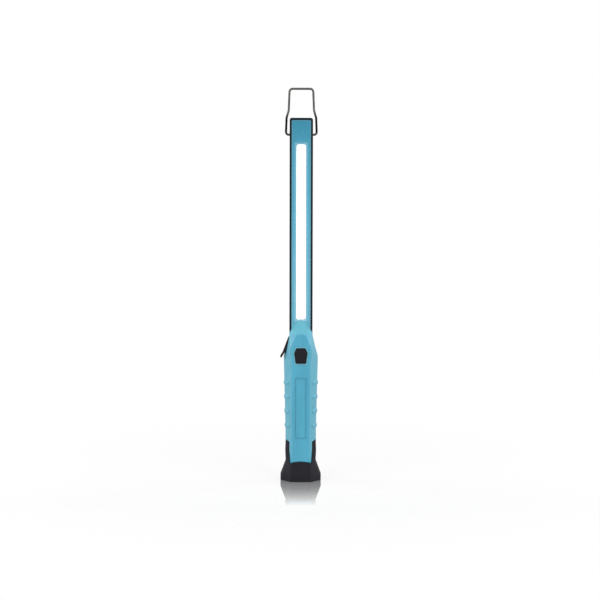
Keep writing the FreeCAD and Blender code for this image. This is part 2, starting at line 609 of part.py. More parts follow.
def rear_shell():
    """Black rear half: bosses and counterbores for the handle and root screws."""
    body = shell("rear_shell", 1)
    low_bosses = [(f"{hand}*screw_low_across", "screw_low_height", "screw_boss") for hand in (1, -1)]
    slab(body, "XZ", "0", "foot_inner_depth+0.5", *low_bosses)
    high_bosses = [(f"{hand}*screw_high_across", "screw_high_height", "screw_boss") for hand in (1, -1)]
    slab(body, "XZ", "0", "boss_deep", *high_bosses)
    root = [("0", height) for height in ("root_screw_low", "root_screw_high")]
    slab(body, "XZ", "root_back+seat_fit", "face_inner+0.5", *[spot + ("screw_boss+0.6",) for spot in root])
    everywhere = screw_spots() + root
    slab(body, "XZ", "-1", "face_depth+1", *[spot + ("screw_shank+screw_clear",) for spot in everywhere],
         cut=True)
    slab(body, "XZ", "screw_seat", "face_depth+1",
         *[spot + ("screw_head+screw_clear",) for spot in screw_spots()], cut=True)
    slab(body, "XZ", "root_back+wall_thick", "face_depth+1",
         *[spot + ("screw_head+screw_clear",) for spot in root], cut=True)
    cut_port(body, 1)


def screws(label, spots, seat, reach, head, head_tall, shank):
    """Screws along Y with heads behind the seat and tips in front of it."""
    body = new_body(label)
    slab(body, "XZ", seat, f"({seat})+({head_tall})", *[spot + (head,) for spot in spots])
    slab(body, "XZ", f"({seat})-({reach})", f"({seat})+({head_tall})/2",
         *[spot + (shank,) for spot in spots])
    hexes = []
    for across, height in spots:
        turns = [60 * corner for corner in range(6)]
        hexes.append([(f"({across})+({head})*0.45*cos({turn})", f"({height})+({head})*0.45*sin({turn})")
                      for turn in turns])
    slab(body, "XZ", f"({seat})+({head_tall})*0.4", f"({seat})+({head_tall})+1", *hexes, cut=True)


def all_screws():
    """Every group of like screws that runs along Y."""
    screws("handle_screws", screw_spots(), "screw_seat", "screw_seat+screw_reach", "screw_head",
           "screw_head_tall", "screw_shank")
    root = [("0", height) for height in ("root_screw_low", "root_screw_high")]
    screws("root_screws", root, "root_back+wall_thick", "wall_thick+root_screw_reach", "screw_head",
           "screw_head_tall", "screw_shank")
    boards = [("0", height) for height in ("board_screw_low", "board_screw_high")]
    screws("board_screws", boards, "-board_back", "board_thick+small_reach", "small_head",
           "small_head_tall", "small_shank")
    blade = [("0", height) for height in blade_screw_heights()]
    screws("blade_screws", blade, "blade_deep-blade_head_tall", "blade_screw_reach", "small_head",
           "blade_head_tall", "small_shank")


def blade_screw_heights():
    """Heights of the screws in the back of the blade."""
    return ("root_screw_top", "post_low", "post_high", "cap_screw")


def magnet_foot():
    """Steel cup, ring magnet, centre screw and the block that the screw pulls on."""
    cup = new_body("magnet_cup")
    hole = ("0", "0", "magnet_screw_radius+screw_clear")
    slab(cup, "XY", "cup_low", "cup_high", ("0", "0", "cup_radius"), hole)
    slab(cup, "XY", "cup_low-1", "cup_high-cup_thick", ("0", "0", "magnet_radius+piece_fit"), cut=True)
    magnet = new_body("base_magnet")
    slab(magnet, "XY", "cup_low", "cup_high-cup_thick", ("0", "0", "magnet_radius"),
         ("0", "0", "magnet_hole"))
    screw = new_body("magnet_screw")
    seat = "cup_high-cup_thick"
    slab(screw, "XY", f"{seat}-magnet_head_tall", seat, ("0", "0", "magnet_head_radius"))
    tip = "foot_bottom+wall_thick+plug_screw_reach"
    slab(screw, "XY", f"{seat}-magnet_head_tall/2", tip, ("0", "0", "magnet_screw_radius"))
    turns = [60 * corner for corner in range(6)]
    slab(screw, "XY", f"{seat}-magnet_head_tall-1", f"{seat}-magnet_head_tall*0.4",
         [(f"magnet_head_radius*0.5*cos({turn})", f"magnet_head_radius*0.5*sin({turn})")
          for turn in turns], cut=True)
    plug = new_body("foot_plug")
    floor = "foot_bottom+wall_thick"
    slab(plug, "XY", floor, f"{floor}+plug_tall", foot_plan(0, "piece_fit"))
    slab(plug, "XY", f"{floor}-1", f"{floor}+plug_screw_reach+1", ("0", "0", "magnet_screw_radius"),
         cut=True)


def battery():
    """Round cell with its end tabs, the cradle behind it and the foam pad in front."""
    cell = new_body("battery_cell")
    can = turned(cell, [("0", "cell_low"), ("cell_radius", "cell_low"), ("cell_radius", "cell_high"),
                        ("0", "cell_high")])
    soften(cell, can, "cell_shrink", lambda edge: edge.Length > 2 * math.pi)
    tabs = new_body("battery_tabs")
    for low in ("cell_low-tab_thick", "cell_high"):
        plate = rectangle("-tab_half", "-tab_half", "tab_half", "cell_radius-tab_half/4")
        slab(tabs, "XY", low, f"{low}+tab_thick", plate)
    cradle = new_body("battery_cradle")
    inner = "cell_radius+piece_fit"
    outer = f"{inner}+cradle_thick"
    low = "cell_low-tab_thick-cradle_end"
    high = "cell_high+tab_thick+cradle_end"
    slab(cradle, "XY", low, high, ("0", "0", outer))
    slab(cradle, "XY", low, high, rectangle("-tab_half", "cell_radius", "tab_half", "face_inner-piece_fit"))
    slab(cradle, "XY", "cell_low-tab_thick", "cell_high+tab_thick", ("0", "0", inner), cut=True)
    slab(cradle, "XY", f"{low}-1", f"{high}+1",
         rectangle(f"-({outer})-1", f"-({outer})-1", f"{outer}+1", "piece_fit"), cut=True)
    pad = new_body("battery_pad")
    middle = "(cell_low+cell_high)/2"
    slab(pad, "XZ", "-(face_inner-piece_fit)", "-(cell_radius+piece_fit)",
         box("pad_half", f"{middle}-pad_tall/2", f"{middle}+pad_tall/2"))


def boards():
    """Control board with its switch, chip and coil."""
    board = new_body("control_board")
    slab(board, "XZ", "-board_front", "-board_back", box("board_half", "board_low", "board_high"))
    holes = [("0", height, "small_shank+screw_clear") for height in ("board_screw_low", "board_screw_high")]
    slab(board, "XZ", "-board_front-1", "-board_back+1", *holes, cut=True)
    switch = new_body("tact_switch")
    slab(switch, "XZ", "-switch_front", "-board_front",
         box("switch_half", "stem_height-switch_half", "stem_height+switch_half"))
    slab(switch, "XZ", "-switch_front-1", "-board_front-switch_floor",
         ("0", "stem_height", "stem_radius+run_fit"), cut=True)
    for label, half, tall, height in (("driver_chip", "chip_half", "chip_tall", "chip_height"),
                                      ("power_coil", "coil_half", "coil_tall", "coil_height")):
        part = new_body(label)
        slab(part, "XZ", "-board_back", f"-board_back+{tall}",
             box(half, f"{height}-{half}", f"{height}+{half}"))


def button():
    """Thumb button with its crown, flange and post, and the switch's own stem."""
    cap = new_body("button_cap")
    front = "face_depth+button_proud"
    slab(cap, "XZ", f"-({front})", "-flange_back", coffin("0", "button_round"))
    crown = coffin("-crown_inset", "button_round/2")
    slab(cap, "XZ", f"-({front}+button_crown)", f"-({front}-0.5)", crown)
    slab(cap, "XZ", "-flange_front", "-flange_back", coffin("button_flange", "button_round"))
    stem = new_body("switch_plunger")
    slab(stem, "XZ", "-stem_front", "-stem_back", ("0", "stem_height", "stem_radius"))


def charge_port():
    """Jack, its board, the rubber cover and the pin that the cover turns on."""
    middle = "-port_down"
    jack = new_body("charge_jack")
    mouth = "-(port_seat-jack_sink)"
    shape = [("jack_deep/2", f"{middle}-jack_wide/2"), ("jack_deep/2", f"{middle}+jack_wide/2")]
    rim = [spot + ("jack_round",) for spot in mirrored(shape)]
    slab(jack, "YZ", mouth, f"{mouth}+jack_long", rim)
    bore = [("jack_deep/2-jack_wall", f"{middle}-jack_wide/2+jack_wall", "jack_round-jack_wall"),
            ("jack_deep/2-jack_wall", f"{middle}+jack_wide/2-jack_wall", "jack_round-jack_wall")]
    slab(jack, "YZ", f"{mouth}-1", f"{mouth}+jack_long-jack_back", mirrored(bore), cut=True)
    slab(jack, "YZ", f"{mouth}+jack_sink+plug_in", f"{mouth}+jack_long-jack_back/2",
         box("jack_tongue_thick/2", f"{middle}-jack_tongue_half", f"{middle}+jack_tongue_half"))
    port_tilt(jack)
    board = new_body("charge_board")
    slab(board, "XZ", "jack_deep/2", "jack_deep/2+charge_board_thick",
         rectangle(f"{mouth}+wall_thick+jack_sink+1", f"{middle}-charge_board_half",
                   f"{mouth}+jack_long-0.5", f"{middle}+charge_board_half"))
    port_tilt(board)
    cover = new_body("charge_cover")
    slab(cover, "XZ", "-cover_half", "cover_half", ("0", "0", "knuckle_radius"))
    inner = "port_seat+stem_gap"
    slab(cover, "XZ", "-cover_half", "cover_half", [
        ("-knuckle_radius", "0"), (f"-({inner})", "0"), (f"-({inner})", "-cover_foot"),
        ("-(shoulder_out+tab_slant)", "-cover_foot"),
        ("-(cover_kink_out-tab_thick_out)", "-(cover_kink+tab_slant)", "cover_kink_round/2"),
        ("-(cover_tip_out-tab_thick_out)", "-(cover_tip+tab_slant)", "cover_tip_round/2"),
        ("-cover_tip_out", "-cover_tip", "cover_tip_round"),
        ("-cover_kink_out", "-cover_kink", "cover_kink_round")])
    slab(cover, "YZ", f"-({inner})-0.1", f"-({inner})+plug_in",
         box("plug_deep/2", f"{middle}-plug_wide/2", f"{middle}+plug_wide/2", "plug_deep*0.4"))
    slab(cover, "XZ", "-cover_half-1", "cover_half+1", ("0", "0", "pin_radius+run_fit"), cut=True)
    port_tilt(cover)
    pin = new_body("cover_pin")
    slab(pin, "XZ", "-pin_half", "pin_half", ("0", "0", "pin_radius"))
    port_tilt(pin)


def root_block():
    """Block that joins the blade to the handle shells."""
    body = new_body("root_block")
    front = "-root_back"
    slab(body, "XZ", front, "root_back", box("root_half", "root_low", "root_high"))
    holes = [("0", height, "screw_shank") for height in ("root_screw_low", "root_screw_high")]
    holes.append(("0", "root_screw_top", "small_shank"))
    slab(body, "XZ", "root_back-root_screw_reach", "root_back+1", *holes, cut=True)


def blade_channel():
    """Black channel of the blade: rim, fascia ledge, back wall, posts and hinge holes."""
    body = new_body("blade_channel")
    high = mirrored([("blade_half", "handle_top"), ("blade_half", "blade_high", "blade_round")])
    slab(body, "XZ", "-blade_deep", "blade_deep", high)
    slab(body, "XZ", "-(blade_deep+1)", "-fascia_back",
         mirrored([("rim_inner_half", "handle_top-1"), ("rim_inner_half", "fascia_high", "fascia_round")]),
         cut=True)
    slab(body, "XZ", "-(blade_deep+1)", "cavity_back",
         box("cavity_half", "handle_top-1", "cavity_high"), cut=True)
    posts = [("0", height, "post_radius") for height in ("post_low", "post_high")]
    slab(body, "XZ", "spreader_back", "cavity_back+0.5", *posts)
    holes = [("0", height, "small_shank+screw_clear") for height in blade_screw_heights()]
    slab(body, "XZ", "0", "blade_deep+1", *holes, cut=True)
    heads = [("0", height, "small_head+screw_clear") for height in blade_screw_heights()]
    slab(body, "XZ", "blade_deep-blade_head_tall", "blade_deep+1", *heads, cut=True)
    slab(body, "YZ", "-(blade_half+1)", "blade_half+1", ("0", "hook_height", "bush_radius"), cut=True)


def blade_front():
    """Blue fascia, gasket and lens."""
    fascia = new_body("blade_fascia")
    low = "handle_top+seat_fit"
    half = "rim_inner_half-slip_fit"
    plate = mirrored([(half, low), (half, "fascia_high-slip_fit", "fascia_round")])
    slab(fascia, "XZ", "-fascia_front", "-fascia_back", plate)
    window = box("window_half", "window_low", "window_high", "window_round")
    slab(fascia, "XZ", "-fascia_front-1", "-fascia_back+1", window, cut=True)
    gasket = new_body("lens_gasket")
    slab(gasket, "XZ", "-fascia_back", "-gasket_back", box("flange_half", "flange_low", "flange_high"),
         box("window_half+gasket_gap", "window_low-gasket_gap", "window_high+gasket_gap"))
    lens = new_body("lens")
    bar = box("window_half-lens_fit", "window_low+lens_fit", "window_high-lens_fit",
              "window_round-lens_fit")
    slab(lens, "XZ", "-(fascia_front-lens_sink)", "-gasket_back+0.2", bar)
    slab(lens, "XZ", "-gasket_back", "-lens_back", box("flange_half", "flange_low", "flange_high"))


def light_engine():
    """Glowing strip on its metal board, and the heat spreader behind."""
    strip = new_body("led_strip")
    slab(strip, "XZ", "-strip_front", "-led_board_front",
         box("strip_half", "window_low+strip_margin", "window_high-strip_margin", "strip_round"))
    board = new_body("led_board")
    slab(board, "XZ", "-led_board_front", "-spreader_front",
         box("led_board_half", "flange_low", "flange_high"))
    bar = new_body("heat_spreader")
    slab(bar, "XZ", "-spreader_front", "spreader_back",
         box("spreader_half", "spreader_low", "spreader_high"))
    holes = [("0", height, "small_shank") for height in ("post_low", "post_high")]
    slab(bar, "XZ", "blade_deep-blade_head_tall-blade_screw_reach-0.2", "spreader_back+1", *holes, cut=True)


def end_cap():
    """Block in the blade top that carries the hinge bushes."""
    body = new_body("end_cap")
    half = "cavity_half-piece_fit"
    back = "cavity_back-piece_fit"
    slab(body, "XZ", "-(fascia_back-piece_fit)", back, box(half, "cap_low", "cavity_high-piece_fit"))
    slab(body, "XZ", "blade_deep-blade_head_tall-blade_screw_reach-0.2", "blade_deep",
         ("0", "cap_screw", "small_shank"), cut=True)
    for near, far in (("bush_inner", "blade_half"), ("-blade_half", "-bush_inner")):
        slab(body, "YZ", near, far, ("0", "hook_height", "bush_radius"), cut=True)


def bail_bushes():
    """Two blind bushes that the wire's feet turn in."""
    body = new_body("bail_bushes")
    ends = (("bush_inner", "blade_half", "bush_inner+bush_floor", "blade_half+1"),
            ("-blade_half", "-bush_inner", "-blade_half-1", "-bush_inner-bush_floor"))
    for near, far, bore_near, bore_far in ends:
        slab(body, "YZ", near, far, ("0", "hook_height", "bush_radius"))
        slab(body, "YZ", bore_near, bore_far, ("0", "hook_height", "bore_radius"), cut=True)


def bail():
    """Wire hook bent from one round rod."""
    body = new_body("bail")
    path = new_sketch(body, "XZ", "0")
    path.Label = "wire_path"
    right = [("foot_inner", "hook_height"), ("hook_low_half", "hook_height", "hook_low_round"),
             ("hook_mid_half", "hook_mid_height", "hook_kink_round"),
             ("hook_kink_half", "hook_kink_height", "hook_kink_round"),
             ("hook_top_half", "hook_top", "hook_round")]
    outline(path, mirrored(right), closed=False)
    profile = new_sketch(body, "YZ", "foot_inner")
    ring(profile, "0", "hook_height", "wire_radius")
    pipe = body.newObject("PartDesign::AdditivePipe", "rod")
    pipe.Profile = profile
    pipe.Spine = path


def lead(label, routes):
    """Thin wires in a node, each a round tube along straight runs and tangent arcs."""
    tubes = []
    radius = value("lead_radius")
    for route in routes:
        spots = [FreeCAD.Vector(*[value(text) for text in spot]) for spot in route]
        edges = []
        start = spots[0]
        for before, corner, after in zip(spots, spots[1:], spots[2:]):
            back = (before - corner)
            ahead = (after - corner)
            reach = 0.42 * min(back.Length, ahead.Length)
            back.normalize()
            ahead.normalize()
            half = back.getAngle(ahead) / 2
            sag = reach * math.tan(half)
            middle = corner + (back + ahead).normalize() * (reach / math.cos(half))
            top = middle + (corner - middle).normalize() * sag
            edges.append(Part.makeLine(start, corner + back * reach))
            edges.append(Part.Arc(corner + back * reach, top, corner + ahead * reach).toShape())
            start = corner + ahead * reach
        edges.append(Part.makeLine(start, spots[-1]))
        path = Part.Wire(edges)
        ring_wire = Part.Wire(Part.makeCircle(radius, spots[0], spots[1] - spots[0]))
        tubes.append(path.makePipeShell([ring_wire], True, False))
    wires = doc.addObject("Part::Feature", label)
    wires.Label = label
    wires.Shape = Part.makeCompound(tubes)
    wires.Placement = FreeCAD.Placement()


def all_leads():
    """Wires between the battery, the boards and the light strip."""
    gap = "lead_radius+piece_fit"
    back = f"-board_back+{gap}"
    side = "cell_radius+0.6+lead_radius"
    lead("battery_leads", [
        [("tab_half-1", "-1", f"cell_high+tab_thick+{gap}"), ("5", "-4.5", "cell_high+3.5"),
         ("6.5", back, "board_low+2"), ("6.5", back, "board_low+6")],
        [("-3", "-3", f"cell_low-tab_thick-{gap}-piece_fit"), ("-8.6", "-7.4", "cell_low-1.5"),
         (f"-({side})", "-3.5", "cell_low+7"), (f"-({side})", "-3.5", "(cell_low+cell_high)/2"),
         (f"-({side})", "-4", "cell_high-4"), ("-8.0", "-6", "cell_high+4.5"),
         ("-6.5", f"{back}", "board_low+4.5"), ("-6.5", back, "board_low+8")],
    ])
    run = "cavity_back-lead_radius-piece_fit"
    lead("lamp_leads", [
        [(f"{hand}*6.5", back, "board_high-9"),
         (f"{hand}*(root_half+1.4)", f"{back}+0.9", "board_high-3.5"),
         (f"{hand}*(root_half+0.8)", "-2", "handle_top-5.5"),
         (f"{hand}*(root_half+0.9)", "0", "handle_top+4"),
         (f"{hand}*(root_half+0.9)", "2.2", "root_high-6"), (f"{hand}*(root_half+0.9)", run, "root_high+6"),
         (f"{hand}*5.0", run, "spreader_low+12")]
        for hand in (1, -1)])
    lead("charge_leads", [
        [("-(root_half+2.9)", "3.3", "root_low+9"), ("-(root_half+3.6)", "3.3", "root_low+3"),
         ("-(root_half+3.2)", "0", "root_low-1"), ("-(root_half+3)", "-4.5", "root_low-1.5"),
         ("-7.3", back, "root_low+1.5"), ("-7.3", back, "root_low+5.5")],
        [("-(root_half+2.6)", "3.3", "root_low+12"), ("-(root_half+1.5)", "3.6", "root_low+6.5"),
         ("-(root_half+1.5)", "2.6", "root_low"), ("-(root_half+1.6)", "-3", "root_low-3.2"),
         ("-5.6", back, "root_low-2"), ("-5.2", back, "root_low+3")],
    ])


def check_and_write():
    """Recompute, refuse anything invalid and write one file per sub-part."""
    doc.recompute()
    for thing in doc.Objects:
        if "Invalid" in thing.State or "Error" in thing.State:
            raise RuntimeError(f"{thing.Name} ({thing.Label}) failed")
    for thing in doc.Objects:
        if thing.TypeId in ("PartDesign::Body", "Part::Feature"):
            if thing.Shape.isNull() or not thing.Shape.isValid():
                raise RuntimeError(f"{thing.Label} has no valid shape")
            thing.Shape.exportStep(f"parts/{thing.Label}.step")
            print(f"{thing.Label}: {len(thing.Shape.Solids)} solid(s), {thing.Shape.Volume:.1f} mm3")


fill_sheet()
base_boot()
front_shell()
rear_shell()
magnet_foot()
battery()
boards()
button()
charge_port()
root_block()
blade_channel()
blade_front()
light_engine()
end_cap()
bail_bushes()
bail()
all_screws()
all_leads()
check_and_write()
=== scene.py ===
import math

import bpy
from mathutils import Matrix, Vector


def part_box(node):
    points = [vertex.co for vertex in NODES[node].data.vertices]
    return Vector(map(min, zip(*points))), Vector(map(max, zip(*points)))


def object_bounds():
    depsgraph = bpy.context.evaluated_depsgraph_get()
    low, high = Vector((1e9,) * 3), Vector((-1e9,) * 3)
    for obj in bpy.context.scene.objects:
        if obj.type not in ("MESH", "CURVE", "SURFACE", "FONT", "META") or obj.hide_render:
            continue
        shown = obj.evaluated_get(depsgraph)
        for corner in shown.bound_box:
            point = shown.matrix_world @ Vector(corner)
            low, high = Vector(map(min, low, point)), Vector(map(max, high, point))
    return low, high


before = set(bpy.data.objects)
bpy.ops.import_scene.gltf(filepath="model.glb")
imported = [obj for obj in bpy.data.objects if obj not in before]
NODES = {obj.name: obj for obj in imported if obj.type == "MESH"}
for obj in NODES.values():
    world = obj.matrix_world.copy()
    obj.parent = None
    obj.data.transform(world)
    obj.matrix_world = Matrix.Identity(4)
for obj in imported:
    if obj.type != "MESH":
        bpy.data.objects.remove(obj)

bl_info = {
    "name": "Magnetic Work Light",
    "version": (1, 0, 0),
    "blender": (4, 5, 0),
    "location": "View3D > Sidebar > Work Light",
    "description": "Finishes a slim rechargeable work light and sets it on a white table",
    "category": "Object",
}

MM = 0.001
CAD_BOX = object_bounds()
WHITE = (1.0, 1.0, 1.0, 1.0)
BLACK = (0.0, 0.0, 0.0, 1.0)
SENSOR = 36.0

# Painted light on the blue, as tints: a gain for red, green and blue each.
# Painted highlight on the raised lip round the thumb button.
LIP_HIGHLIGHT_TINT = (2.6, 1.38, 1.17)
# Painted light on the handle's dome, paler as if lit from above.
DOME_LIGHT_TINT = (1.45, 1.14, 1.02)
# Painted sheen on the flanks, as if lit warmly from the side.
FLANK_SHEEN_TINT = (1.4, 1.03, 0.96)

# Painted light on the blade face from its foot (paler) to its top (darker): a share of its height,
# and the gains there.
PAINTED_LIGHT_FADE = ((0.03, (1.45, 1.10, 1.04)),
        (0.175, (1.67, 1.13, 1.06)),
        (0.57, (1.0, 0.98, 0.975)),
        (0.86, (0.73, 0.85, 0.855)),
        (1.0, (0.26, 0.62, 0.68)))
# Painted highlight along the blade face's rounded border.
BORDER_HIGHLIGHT_BLUE = (0.13, 0.27, 0.33, 1.0)
DIM_GLOW = (0.15, 0.205, 0.24, 1.0)


# ---------------------------------------------------------------- shader maths

class Wire:
    """A node socket that takes part in Python arithmetic."""

    def __init__(self, recipe, socket):
        self.recipe = recipe
        self.socket = socket

    def _maths(self, operation, *values):
        return self.recipe.node("ShaderNodeMath", {"operation": operation}, dict(enumerate(values)))

    def __add__(self, other):
        return self._maths("ADD", self, other)

    __radd__ = __add__

    def __sub__(self, other):
        return self._maths("SUBTRACT", self, other)

    def __rsub__(self, other):
        return self._maths("SUBTRACT", other, self)

    def __mul__(self, other):
        return self._maths("MULTIPLY", self, other)

    __rmul__ = __mul__

    def __truediv__(self, other):
        return self._maths("DIVIDE", self, other)

    def __pow__(self, other):
        return self._maths("POWER", self, other)

    def __abs__(self):
        return self._maths("ABSOLUTE", self)

    def sine(self):
        """The sine of this value."""
        return self._maths("SINE", self)

    def most(self, other):
        """The larger of this and another value."""
        return self._maths("MAXIMUM", self, other)

    def least(self, other):
        """The smaller of this and another value."""
        return self._maths("MINIMUM", self, other)

    def step(self, low, high):
        """Rise smoothly from 0 at low to 1 at high."""
        return self.recipe.node("ShaderNodeMapRange", {"interpolation_type": "SMOOTHSTEP"},
                                {"Value": self, "From Min": low, "From Max": high})


class Recipe:
    """One node material or world, written as values and links."""

    def __init__(self, name, kind="Material"):
        self.made = getattr(bpy.data, kind.lower() + "s").new(name)
        self.made.use_nodes = True
        self.output = "ShaderNodeOutput" + kind
        self.tree = self.made.node_tree
        self.tree.nodes.clear()

    def node(self, kind, settings=None, sockets=None, out=0):
        """Add a node: its settings first, then the values or links of its sockets."""
        step = self.tree.nodes.new(kind)
        for name, value in (settings or {}).items():
            if name == "stops":
                self.set_stops(step.color_ramp, value)
            else:
                setattr(step, name, value)
        for name, value in (sockets or {}).items():
            target = step.inputs[name]
            if isinstance(value, Wire):
                self.tree.links.new(value.socket, target)
            else:
                target.default_value = value
        return Wire(self, step.outputs[out]) if step.outputs else None

    @staticmethod
    def set_stops(ramp, stops):
        """Give a colour ramp its stops: a place and a colour each."""
        while len(ramp.elements) < len(stops):
            ramp.elements.new(0.5)
        for element, (share, colour) in zip(ramp.elements, stops):
            element.position = share
            element.color = colour

    def spot(self):
        """Position on the object as a vector, in metres."""
        return self.node("ShaderNodeTexCoord", out="Object")

    def place(self):
        """Position on the object, split into X, Y and Z."""
        split = self.node("ShaderNodeSeparateXYZ", None, {0: self.spot()}).socket.node
        return [Wire(self, axis) for axis in split.outputs]

    def stretched(self, x, y, z):
        """Position with each axis scaled, for grain that runs one way."""
        return self.node("ShaderNodeVectorMath", {"operation": "MULTIPLY"},
                         {0: self.spot(), 1: (x, y, z)})

    def noise(self, scale, detail=3.0, rough=0.5, vector=None):
        """Noise between 0 and 1 at a scale per metre."""
        return self.node("ShaderNodeTexNoise", None,
                         {"Vector": vector or self.spot(), "Scale": scale, "Detail": detail,
                          "Roughness": rough})

    def cells(self, scale):
        """Distance to scattered cell centres."""
        return self.node("ShaderNodeTexVoronoi", None, {"Vector": self.spot(), "Scale": scale})

    def blend(self, factor, first, second):
        """Mix two colours by a factor."""
        return self.node("ShaderNodeMix", {"data_type": "RGBA"},
                         {0: factor, 6: first, 7: second}, 2)

    def bump(self, height, strength, distance):
        """Turn a height in 0 to 1 into a surface normal."""
        return self.node("ShaderNodeBump", None,
                         {"Height": height, "Strength": strength, "Distance": distance})

    def surface(self, **sockets):
        """Finish with a Principled shader, its sockets named with underscores."""
        named = {name.replace("_", " "): value for name, value in sockets.items()}
        return self.finish(self.node("ShaderNodeBsdfPrincipled", None, named))

    def finish(self, shader):
        """Connect a shader to the output and hand over what was made."""
        self.node(self.output, None, {"Surface": shader})
        return self.made


def rgba(colour, gain=1.0):
    """A stored colour as four channels, made lighter or darker."""
    return [min(1.0, channel * gain) for channel in colour[:3]] + [1.0]


def tinted(colour, gains):
    """A stored colour as four channels, each with its own gain."""
    return [min(1.0, channel * gain) for channel, gain in zip(colour[:3], gains)] + [1.0]


def colour_field(name, note, value):
    """A colour that the user may change, in linear light."""
    return bpy.props.FloatVectorProperty(name=name, description=note, default=value, size=3,
                                         subtype="COLOR", min=0.0, max=1.0)


def length_field(name, note, value):
    """A length that the user may change, in metres."""
    return bpy.props.FloatProperty(name=name, description=note, default=value, subtype="DISTANCE",
                                   unit="LENGTH", min=0.0)


def number_field(name, note, value):
    """A plain number that the user may change."""
    return bpy.props.FloatProperty(name=name, description=note, default=value, min=0.0)


class WorkLightFinish(bpy.types.PropertyGroup):
    """Colours of the mouldings, the rubber, the wire and the light."""

    blue: colour_field(
        "Blue", "Moulded blue of the handle front and the blade face", (0.066, 0.331, 0.467))
    shell: colour_field(
        "Black shell", "Moulded black of the blade rim and the rear shell",
        (0.0035, 0.0095, 0.0145))
    rubber: colour_field("Rubber", "Rubber of the boot", (0.0120, 0.0115, 0.0155))
    button: colour_field("Button", "Soft-touch black of the thumb button", (0.0095, 0.0085, 0.0120))
    wire: colour_field("Wire", "Steel of the hook", (0.090, 0.088, 0.085))
    glow: colour_field("Glow", "Colour of the lit strip", (0.93, 0.98, 1.0))
    board: colour_field("Circuit board", "Solder mask of the boards", (0.02, 0.20, 0.08))


class WorkLightEdges(bpy.types.PropertyGroup):
    """Widths of the moulded edge rounds."""

    shell_edge: length_field("Shell edge", "Round on the edges of the handle shells", 0.6 * MM)
    rubber_edge: length_field("Rubber edge", "Round on the edges of the rubber boot", 0.7 * MM)
    small_edge: length_field("Small edge", "Round on the edges of small parts", 0.25 * MM)


class WorkLightShades(bpy.types.PropertyGroup):
    """Places, reaches and strengths of the painted shade and painted light on the blue mouldings.
    """

    button_low: length_field("Button foot", "Height of the thumb button's lower edge", 134.0 * MM)
    button_mid: length_field(
        "Button middle", "Height at which the thumb button is widest", 146.0 * MM)
    button_high: length_field("Button top", "Height of the thumb button's upper edge", 151.3 * MM)
    button_low_half: length_field(
        "Button foot half width", "Half the width of the thumb button at its foot", 5.8 * MM)
    button_mid_half: length_field(
        "Button half width", "Half the width of the thumb button at its widest", 7.5 * MM)
    button_high_half: length_field(
        "Button top half width", "Half the width of the thumb button at its top", 5.0 * MM)
    # The pale lip round the thumb button is a painted highlight.
    lip_highlight_reach: length_field("Lip reach", "Reach of the pale lip round the thumb button", 1.5 * MM)
    lip_highlight_share: number_field("Lip strength", "Share of the pale tint on the button's lip", 0.8)
    # The dome's paler tone is painted light from above.
    dome_light_low: length_field(
        "Dome foot", "Height at which the handle starts to pale towards its dome", 164.0 * MM)
    dome_light_high: length_field("Dome top", "Height from which the dome is fully pale", 169.0 * MM)
    # The flanks' warmer tone is a painted sheen of side light.
    flank_sheen_near: length_field(
        "Flank start", "Distance from the middle at which the flanks start to warm", 9.0 * MM)
    flank_sheen_far: length_field(
        "Flank end", "Distance from the middle from which the flanks are fully warm", 12.5 * MM)
    panel_half: length_field(
        "Panel half width", "Half the width of the sunk panel on the handle", 6.0 * MM)
    panel_low: length_field("Panel foot", "Height of the panel's lower edge", 49.6 * MM)
    panel_high: length_field("Panel top", "Height of the panel's upper edge", 117.3 * MM)
    panel_shade_line: length_field("Panel line", "Reach of the shade in the panel's groove", 0.8 * MM)
    panel_shade_share: number_field("Panel strength", "Share of the dark shade in the groove", 0.3)
    # The line along the blade face's border is a painted highlight on its rounded edge.
    border_highlight_near: length_field(
        "Border line", "Width of the line along the blade face's border", 0.7 * MM)
    border_highlight_far: length_field("Border reach", "Width over which that line fades out", 1.3 * MM)
    border_highlight_share: number_field("Border strength", "Share of the pale tint in that line", 0.5)


class WorkLightGlow(bpy.types.PropertyGroup):
    """Brightness of the lit strip, and of the painted glow (emission) on the blade face beside its
    window.
    """

    glow_power: number_field("Glow power", "Strength of the lit strip", 3.2)
    # The halo is a painted glow on the blade face, not light from the strip.
    halo_reach: length_field("Halo reach", "How far the light spills over the blade face", 4.0 * MM)
    halo_power: number_field("Halo power", "Strength of the spilt light beside the window", 0.22)
    lens_ledge: length_field(
        "Lens ledge", "Width of the lens hidden behind the window's edge", 1.4 * MM)
    fade_side: length_field("Side fade", "Fade of the strip's light at its sides", 2.5 * MM)
    fade_top: length_field("Top fade", "Fade of the strip's light at its top", 5.5 * MM)
    fade_foot: length_field("Foot fade", "Fade of the strip's light at its foot", 3.5 * MM)


